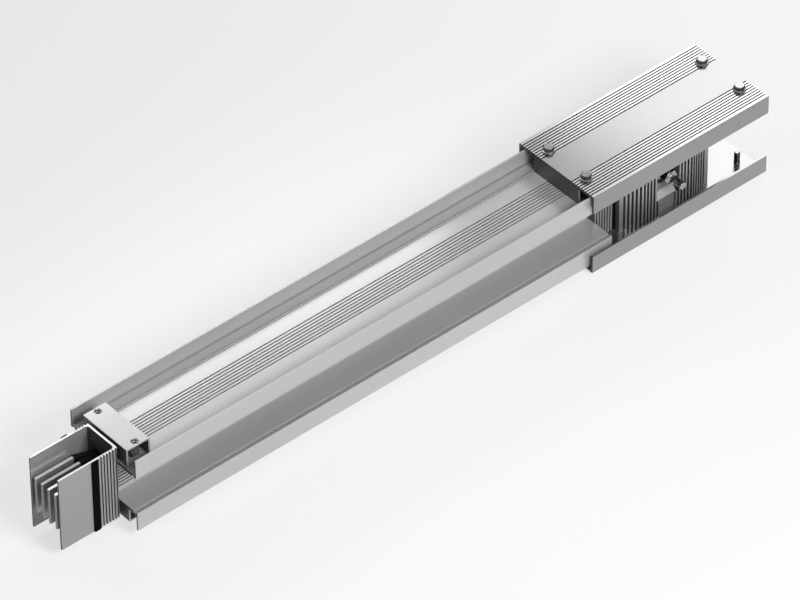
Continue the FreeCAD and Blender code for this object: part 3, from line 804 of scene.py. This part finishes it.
def turnedSolid(name, steps, sides=48):
    # A solid whose rim runs through these pairs of radius and height
    radius, height = steps[0]
    bpy.ops.object.select_all(action="DESELECT")
    bpy.ops.mesh.primitive_circle_add(
        vertices=sides, radius=radius, fill_type="NOTHING", location=(0, 0, height)
    )
    piece = bpy.context.object
    piece.name = name
    onlySelect(piece)
    setMode("EDIT")
    bpy.ops.mesh.select_all(action="SELECT")
    bpy.ops.mesh.edge_face_add()
    # The first face stays as the lower end, and its copy is drawn out
    bpy.ops.mesh.duplicate()
    bpy.ops.mesh.flip_normals()
    bpy.ops.mesh.select_all(action="DESELECT")
    setMode("OBJECT")
    bpy.ops.object.transform_apply(location=True, rotation=True, scale=True)
    piece.data.polygons[1].select = True
    setMode("EDIT")
    drawOut(steps)
    bpy.ops.mesh.select_all(action="SELECT")
    bpy.ops.mesh.remove_doubles(threshold=modelling["weld"])
    bpy.ops.mesh.normals_make_consistent(inside=False)
    setMode("OBJECT")
    return piece


def turnedRing(name, steps, sides=48):
    # A ring whose section is the closed outline of these pairs of radius and height
    radius, height = steps[0]
    bpy.ops.object.select_all(action="DESELECT")
    bpy.ops.mesh.primitive_circle_add(vertices=sides, radius=radius, location=(0, 0, height))
    piece = bpy.context.object
    piece.name = name
    onlySelect(piece)
    bpy.ops.object.transform_apply(location=True, rotation=True, scale=True)
    setMode("EDIT")
    # A circle with no face in it is only drawn out as edges
    bpy.ops.mesh.select_mode(type="EDGE")
    bpy.ops.mesh.select_all(action="SELECT")
    drawOut([*steps, steps[0]])
    bpy.ops.mesh.select_mode(type="FACE")
    bpy.ops.mesh.select_all(action="SELECT")
    bpy.ops.mesh.remove_doubles(threshold=modelling["weld"])
    bpy.ops.mesh.normals_make_consistent(inside=False)
    setMode("OBJECT")
    return piece


def combine(piece, other, operation):
    # Joins, cuts or intersects a piece with another one, which is used up
    onlySelect(piece)
    modifier = piece.modifiers.new("combine", "BOOLEAN")
    modifier.operation = operation
    modifier.solver = "EXACT"
    modifier.object = other
    bpy.ops.object.modifier_apply(modifier=modifier.name)
    bpy.data.objects.remove(other)
    return piece


def cleanUp(piece):
    # Joining and cutting leaves slivers along the seams
    onlySelect(piece)
    setMode("EDIT")
    bpy.ops.mesh.select_all(action="SELECT")
    bpy.ops.mesh.remove_doubles(threshold=modelling["seamWeld"])
    bpy.ops.mesh.dissolve_degenerate(threshold=modelling["sliver"])
    bpy.ops.mesh.quads_convert_to_tris(quad_method="BEAUTY", ngon_method="BEAUTY")
    bpy.ops.mesh.normals_make_consistent(inside=False)
    setMode("OBJECT")


def hexPrism(name, across, low, high, chamfer, both=False):
    # A hexagon of this size across its flats, its corners turned off at the top or at both
    # ends. Chamfer is the size of the round that is left, as a share of the flats.
    corner = across / math.sqrt(3)
    prism = turnedSolid(name, [(corner, low), (corner, high)], sides=6)
    flat = across / 2 * chamfer
    drop = (corner - flat) * modelling["chamferSlope"]
    wide = corner * modelling["chamferReach"]
    rim = [(wide, low), (wide, high - drop), (flat, high)]
    if both:
        rim = [(flat, low), (wide, low + drop), *rim[1:]]
    return combine(prism, turnedSolid("turning", rim, sides=64), "INTERSECT")


def threadRidge(name, core, outer, pitch, low, high):
    # One closed ridge that winds round the core from low to high
    turns = int((high - low) / pitch) - 1
    bpy.ops.object.select_all(action="DESELECT")
    bpy.ops.mesh.primitive_plane_add(size=1, location=(0, 0, 0))
    ridge = bpy.context.object
    ridge.name = name
    onlySelect(ridge)
    sunk = core - modelling["threadSink"] * (outer - core)
    root, crest = modelling["threadRoot"], modelling["threadCrest"]
    section = ((sunk, -root), (outer, -crest), (outer, crest), (sunk, root))
    order = (0, 1, 3, 2)  # the plane's corners, going round
    # The ridge starts half a pitch up, so that its lower end stays on the core
    for index, (radius, rise) in zip(order, section):
        ridge.data.vertices[index].co = (radius, 0, low + (0.5 + rise) * pitch)
    wind = ridge.modifiers.new("wind", "SCREW")
    wind.axis = "Z"
    wind.screw_offset = pitch
    wind.iterations = turns
    wind.steps = wind.render_steps = modelling["threadSteps"]
    wind.use_merge_vertices = False
    setMode("EDIT")
    bpy.ops.mesh.select_all(action="SELECT")
    bpy.ops.mesh.delete(type="ONLY_FACE")
    setMode("OBJECT")
    bpy.ops.object.modifier_apply(modifier=wind.name)
    setMode("EDIT")
    bpy.ops.mesh.select_all(action="DESELECT")
    bpy.ops.mesh.select_mode(type="EDGE")
    bpy.ops.mesh.select_non_manifold()
    bpy.ops.mesh.edge_face_add()
    bpy.ops.mesh.select_mode(type="FACE")
    bpy.ops.mesh.select_all(action="SELECT")
    bpy.ops.mesh.normals_make_consistent(inside=False)
    setMode("OBJECT")
    return ridge


def softenEdges(piece, width, segments=2, angle=35):
    onlySelect(piece)
    bevel = piece.modifiers.new("soften", "BEVEL")
    bevel.width = width
    bevel.segments = segments
    bevel.limit_method = "ANGLE"
    bevel.angle_limit = math.radians(angle)
    bpy.ops.object.modifier_apply(modifier=bevel.name)
    bpy.ops.object.shade_smooth_by_angle(angle=math.radians(modelling["softAngle"]))


def placeCopy(master, name, place, turn):
    # A copy with its own mesh, turned and moved in its mesh, with the object at the origin.
    # Turn is None where it stays as it is.
    copy = master.copy()
    copy.data = master.data.copy()
    copy.name = name
    bpy.context.scene.collection.objects.link(copy)
    copy.data.transform(Matrix.Translation(place) @ (turn or Matrix()))
    return copy


def finishPiece(piece, slotName, *replaced, finish=None):
    # The finish is the slot's own unless another one is named
    piece.data.materials.clear()
    piece.data.materials.append(materials[finish or slotName])
    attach(piece, "root")
    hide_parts(*replaced)


turnDown = Matrix.Rotation(math.pi, 4, "X")
turnFront = Matrix.Rotation(math.radians(90), 4, "X")
turnBack = Matrix.Rotation(math.radians(-90), 4, "X")
flatUp = Matrix.Rotation(math.radians(30), 4, "Z")  # brings a flat of the hexagon to the top

# Cover bolts: flanged hexagon bolts with a flat, chamfered head and a rolled thread
coverBolt = {
    "flange": 0.018,
    "flangeRim": 0.001,
    "flangeHeight": 0.0018,
    "flangeNeck": 1.12,  # width where the flange meets the hexagon, as a share of its flats
    "underRim": 0.0003,
    "underWidth": 0.96,
    "hexagon": 0.013,
    "hexagonStart": 0.6,  # share of the flange's height at which the hexagon starts
    "standout": 0.007,
    "chamfer": 0.94,
    "edge": 0.00022,
    "shank": 0.008,
    "core": 0.0068,
    "length": 0.021,
    "tip": 0.0006,
    "tipWidth": 0.8,
    "pitch": 0.00125,
    "plainShank": 0.0045,
    "shoulder": 0.0006,
    "overlap": 0.0005,
    "threadStart": 0.0004,
    "threadRunOut": 0.0012,
    "smoothAngle": 25,
}


def makeCoverBolt():
    look = coverBolt
    rim = look["flange"] / 2
    shank, core, low = look["shank"] / 2, look["core"] / 2, -look["length"]
    start = look["flangeHeight"] * look["hexagonStart"]
    head = hexPrism("coverBolt", look["hexagon"], start, look["standout"], look["chamfer"])
    flange = turnedSolid(
        "flange",
        [
            (rim * look["underWidth"], 0),
            (rim, look["underRim"]),
            (rim, look["flangeRim"]),
            (look["hexagon"] / 2 * look["flangeNeck"], look["flangeHeight"]),
        ],
    )
    combine(head, flange, "UNION")
    softenEdges(head, look["edge"])
    plain = -look["plainShank"]
    body = turnedSolid(
        "shank",
        [
            (core * look["tipWidth"], low),
            (core, low + look["tip"]),
            (core, plain),
            (shank, plain + look["shoulder"]),
            (shank, look["overlap"]),
        ],
        sides=32,
    )
    first, last = low + look["threadStart"], plain + look["threadRunOut"]
    ridge = threadRidge("ridge", core, shank, look["pitch"], first, last)
    combine(body, ridge, "UNION")
    combine(head, body, "UNION")
    cleanUp(head)
    bpy.ops.object.shade_smooth_by_angle(angle=math.radians(look["smoothAngle"]))
    return head


def placeCoverBolts():
    master = makeCoverBolt()
    for way in ("top", "bottom"):
        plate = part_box(f"joint_cover_{way}")
        face = plate[1].z if way == "top" else plate[0].z
        for end in ("inner", "outer"):
            for hand in ("front", "back"):
                node = f"cover_bolt_{way}_{end}_{hand}"
                middle = middleOf(node)
                place = Vector((middle.x, middle.y, face))
                turn = None if way == "top" else turnDown
                bolt = placeCopy(master, f"coverBolt_{way}_{end}_{hand}", place, turn)
                finishPiece(bolt, "bolt_steel", node, finish="coverBoltSteel")
    bpy.data.objects.remove(master)


placeCoverBolts()
print("cover bolts made")

# Clip inserts: threaded sleeves with a chamfered mouth and a collar above a narrower waist
clipInsert = {
    "body": 0.011,
    "bore": 0.0082,
    "crest": 0.0069,
    "length": 0.02,
    "mouth": 0.0012,
    "mouthShare": 0.6,  # share of the mouth's depth that is chamfered
    "mouthWidth": 0.0005,
    "rim": 0.0003,
    "collar": 0.0034,
    "collarEnd": 0.0038,
    "waist": 0.0003,
    "tip": 0.0008,
    "boreRim": 0.0003,
    "pitch": 0.00125,
    "threadStart": 0.0006,
    "smoothAngle": 35,
}


def makeClipInsert():
    look = clipInsert
    bore, outer, low = look["bore"] / 2, look["body"] / 2, -look["length"]
    sleeve = turnedRing(
        "clipInsert",
        [
            (bore, -look["mouth"] * look["mouthShare"]),
            (bore + look["mouthWidth"], 0),
            (outer - look["rim"], 0),
            (outer, -look["rim"]),
            (outer, -look["collar"]),
            (outer - look["waist"], -look["collarEnd"]),
            (outer - look["waist"], low + look["tip"]),
            (outer - look["tip"], low),
            (bore + look["boreRim"], low),
            (bore, low + look["boreRim"]),
        ],
    )
    # The thread stands inwards from the bore
    first, last = low + look["threadStart"], -look["mouth"]
    ridge = threadRidge("ridge", bore, look["crest"] / 2, look["pitch"], first, last)
    combine(sleeve, ridge, "UNION")
    cleanUp(sleeve)
    bpy.ops.object.shade_smooth_by_angle(angle=math.radians(look["smoothAngle"]))
    return sleeve


def placeClipInserts():
    master = makeClipInsert()
    for side in ("left", "right"):
        for way in ("top", "bottom"):
            for hand in ("front", "back"):
                node = f"clip_insert_{side}_{way}_{hand}"
                low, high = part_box(node)
                middle = (low + high) / 2
                face = high.z if way == "top" else low.z
                place = Vector((middle.x, middle.y, face))
                turn = None if way == "top" else turnDown
                insert = placeCopy(master, f"clipInsert_{side}_{way}_{hand}", place, turn)
                finishPiece(insert, "insert_steel", node)
    bpy.data.objects.remove(master)


placeClipInserts()
print("clip inserts made")

# Joint bolt: a torque bolt whose thin outer head twists off, with a nut and dished washers
jointBolt = {
    "hexagon": 0.018,
    "head": 0.01,
    "chamfer": 0.93,
    "collar": 0.0092,
    "collarFoot": 0.75,  # radii, as shares of the collar's width
    "collarTop": 0.62,
    "collarHeight": 0.0004,
    "neck": 0.008,
    "neckFoot": 0.9,  # widths, as shares of the neck's
    "neckTop": 0.94,
    "neckStart": 0.001,
    "neckLength": 0.002,
    "neckOverlap": 0.002,
    "outerHexagon": 0.0095,
    "outerHead": 0.02,
    "outerChamfer": 0.9,
    "edge": 0.0003,
    "shank": 0.014,
    "core": 0.0119,
    "tip": 0.001,
    "tipWidth": 0.86,
    "shoulder": 0.001,
    "overlap": 0.001,
    "pitch": 0.002,
    "threadLength": 0.018,
    "threadStart": 0.0006,
    "threadRunOut": 0.002,
    "smoothAngle": 35,
}


def makeJointBolt():
    look = jointBolt
    low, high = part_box("joint_bolt")
    whole = look["head"] + look["neckLength"] + look["outerHead"]
    length = high.y - low.y - whole
    neckTop = look["head"] + look["neckLength"]
    head = hexPrism(
        "jointBolt", look["hexagon"], 0, look["head"], look["chamfer"], both=True
    )
    outer = hexPrism(
        "outerHead", look["outerHexagon"], neckTop, whole, look["outerChamfer"], both=True
    )
    # The neck is thinnest close to the head, where the outer head twists off
    neck = turnedSolid(
        "neck",
        [
            (look["collar"] * look["collarFoot"], look["head"] - look["overlap"]),
            (look["collar"] * look["collarTop"], look["head"] + look["collarHeight"]),
            (look["neck"] / 2 * look["neckFoot"], look["head"] + look["neckStart"]),
            (look["neck"] / 2 * look["neckTop"], neckTop + look["neckOverlap"]),
        ],
        sides=32,
    )
    combine(head, neck, "UNION")
    combine(head, outer, "UNION")
    softenEdges(head, look["edge"])
    shank, core = look["shank"] / 2, look["core"] / 2
    start = -length + look["threadLength"]
    rod = turnedSolid(
        "rod",
        [
            (core * look["tipWidth"], -length),
            (core, -length + look["tip"]),
            (core, start),
            (shank, start + look["shoulder"]),
            (shank, look["overlap"]),
        ],
        sides=32,
    )
    first, last = -length + look["threadStart"], start + look["threadRunOut"]
    ridge = threadRidge("ridge", core, shank, look["pitch"], first, last)
    combine(rod, ridge, "UNION")
    combine(head, rod, "UNION")
    cleanUp(head)
    bpy.ops.object.shade_smooth_by_angle(angle=math.radians(look["smoothAngle"]))
    place = Matrix.Translation((jointMiddle.x, low.y + whole, jointMiddle.z))
    head.data.transform(place @ turnFront @ flatUp)
    finishPiece(head, "bolt_steel", "joint_bolt")


# Joint nut: chamfered on both faces, with a plain bore round the bolt
jointNut = {
    "clearance": 0.0001,
    "chamfer": 0.93,
    "mouth": 0.0009,
    "mouthDepth": 0.0006,
    "overrun": 0.0004,  # how far the cutting tool stands out of the nut
    "edge": 0.00025,
}


def makeJointNut():
    look = jointNut
    low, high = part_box("joint_nut")
    height = high.y - low.y
    nut = hexPrism("jointNut", jointBolt["hexagon"], 0, height, look["chamfer"], both=True)
    bore = jointBolt["shank"] / 2 + look["clearance"]
    hollow = turnedSolid(
        "hollow",
        [
            (bore + look["mouth"], -look["overrun"]),
            (bore, look["mouthDepth"]),
            (bore, height - look["mouthDepth"]),
            (bore + look["mouth"], height + look["overrun"]),
        ],
    )
    combine(nut, hollow, "DIFFERENCE")
    softenEdges(nut, look["edge"])
    place = Matrix.Translation((jointMiddle.x, low.y, jointMiddle.z))
    nut.data.transform(place @ turnBack @ flatUp)
    finishPiece(nut, "bolt_steel", "joint_nut")


# Dished washers: spring steel discs with rounded rims that bear on their outer edge
jointWasher = {
    "bore": 0.0145,
    "rim": 0.032,
    "thickness": 0.0034,
    "dish": 0.0028,
    "under": 0.46,  # height halfway along, as shares of the dish
    "over": 0.54,
    "round": 0.0007,
}


def makeJointWashers():
    look = jointWasher
    bore, rim, thick, dish = look["bore"] / 2, look["rim"] / 2, look["thickness"], look["dish"]
    halfway = (bore + rim) / 2
    master = turnedRing(
        "jointWasher",
        [
            (bore, dish),
            (halfway, dish * look["under"]),
            (rim, 0),
            (rim, thick),
            (halfway, dish * look["over"] + thick),
            (bore, thick + dish),
        ],
        sides=64,
    )
    softenEdges(master, look["round"], segments=3, angle=50)
    for hand, turn in (("front", turnFront), ("back", turnBack)):
        node = f"joint_washer_{hand}"
        low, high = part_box(node)
        seat = high.y if hand == "front" else low.y
        place = (jointMiddle.x, seat, jointMiddle.z)
        washer = placeCopy(master, f"jointWasher_{hand}", place, turn)
        finishPiece(washer, "bolt_steel", node)
    bpy.data.objects.remove(master)


makeJointBolt()
makeJointNut()
makeJointWashers()
print("joint bolt made")

# Sealing strips: soft rubber with rounded edges and a shallow channel down the outer face
sealStrip = {
    "margin": 0.0032,
    "channel": 0.0005,
    "round": 0.0007,
    "crown": (0.86, 1, 0.998),  # size of the outer face against the glued one
    "outward": -0.9,  # a face that looks further than this along -Y is the outer one
}


def makeSealStrips():
    look = sealStrip
    low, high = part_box("gasket_left_front")
    width, thickness, height = high - low
    bpy.ops.object.select_all(action="DESELECT")
    bpy.ops.mesh.primitive_cube_add(size=1, location=(0, 0, 0))
    master = bpy.context.object
    master.name = "sealStrip"
    onlySelect(master)
    master.scale = (width, thickness, height)
    bpy.ops.object.transform_apply(location=True, rotation=True, scale=True)
    setMode("EDIT")
    # The outer face is a little narrower than the glued one
    bpy.ops.mesh.select_mode(type="FACE")
    selectWhere(master, lambda face: face.normal.y < look["outward"])
    bpy.ops.transform.resize(value=look["crown"], center_override=(0, 0, 0))
    bpy.ops.mesh.inset(thickness=look["margin"])
    bpy.ops.transform.translate(value=(0, look["channel"], 0))
    setMode("OBJECT")
    softenEdges(master, look["round"], segments=3, angle=20)
    for side in ("left", "right"):
        for hand in ("front", "back"):
            node = f"gasket_{side}_{hand}"
            low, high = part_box(node)
            turn = None if hand == "front" else Matrix.Rotation(math.pi, 4, "Z")
            strip = placeCopy(master, f"sealStrip_{side}_{hand}", (low + high) / 2, turn)
            finishPiece(strip, "gasket_rubber", node)
    bpy.data.objects.remove(master)


makeSealStrips()
print("sealing strips made")
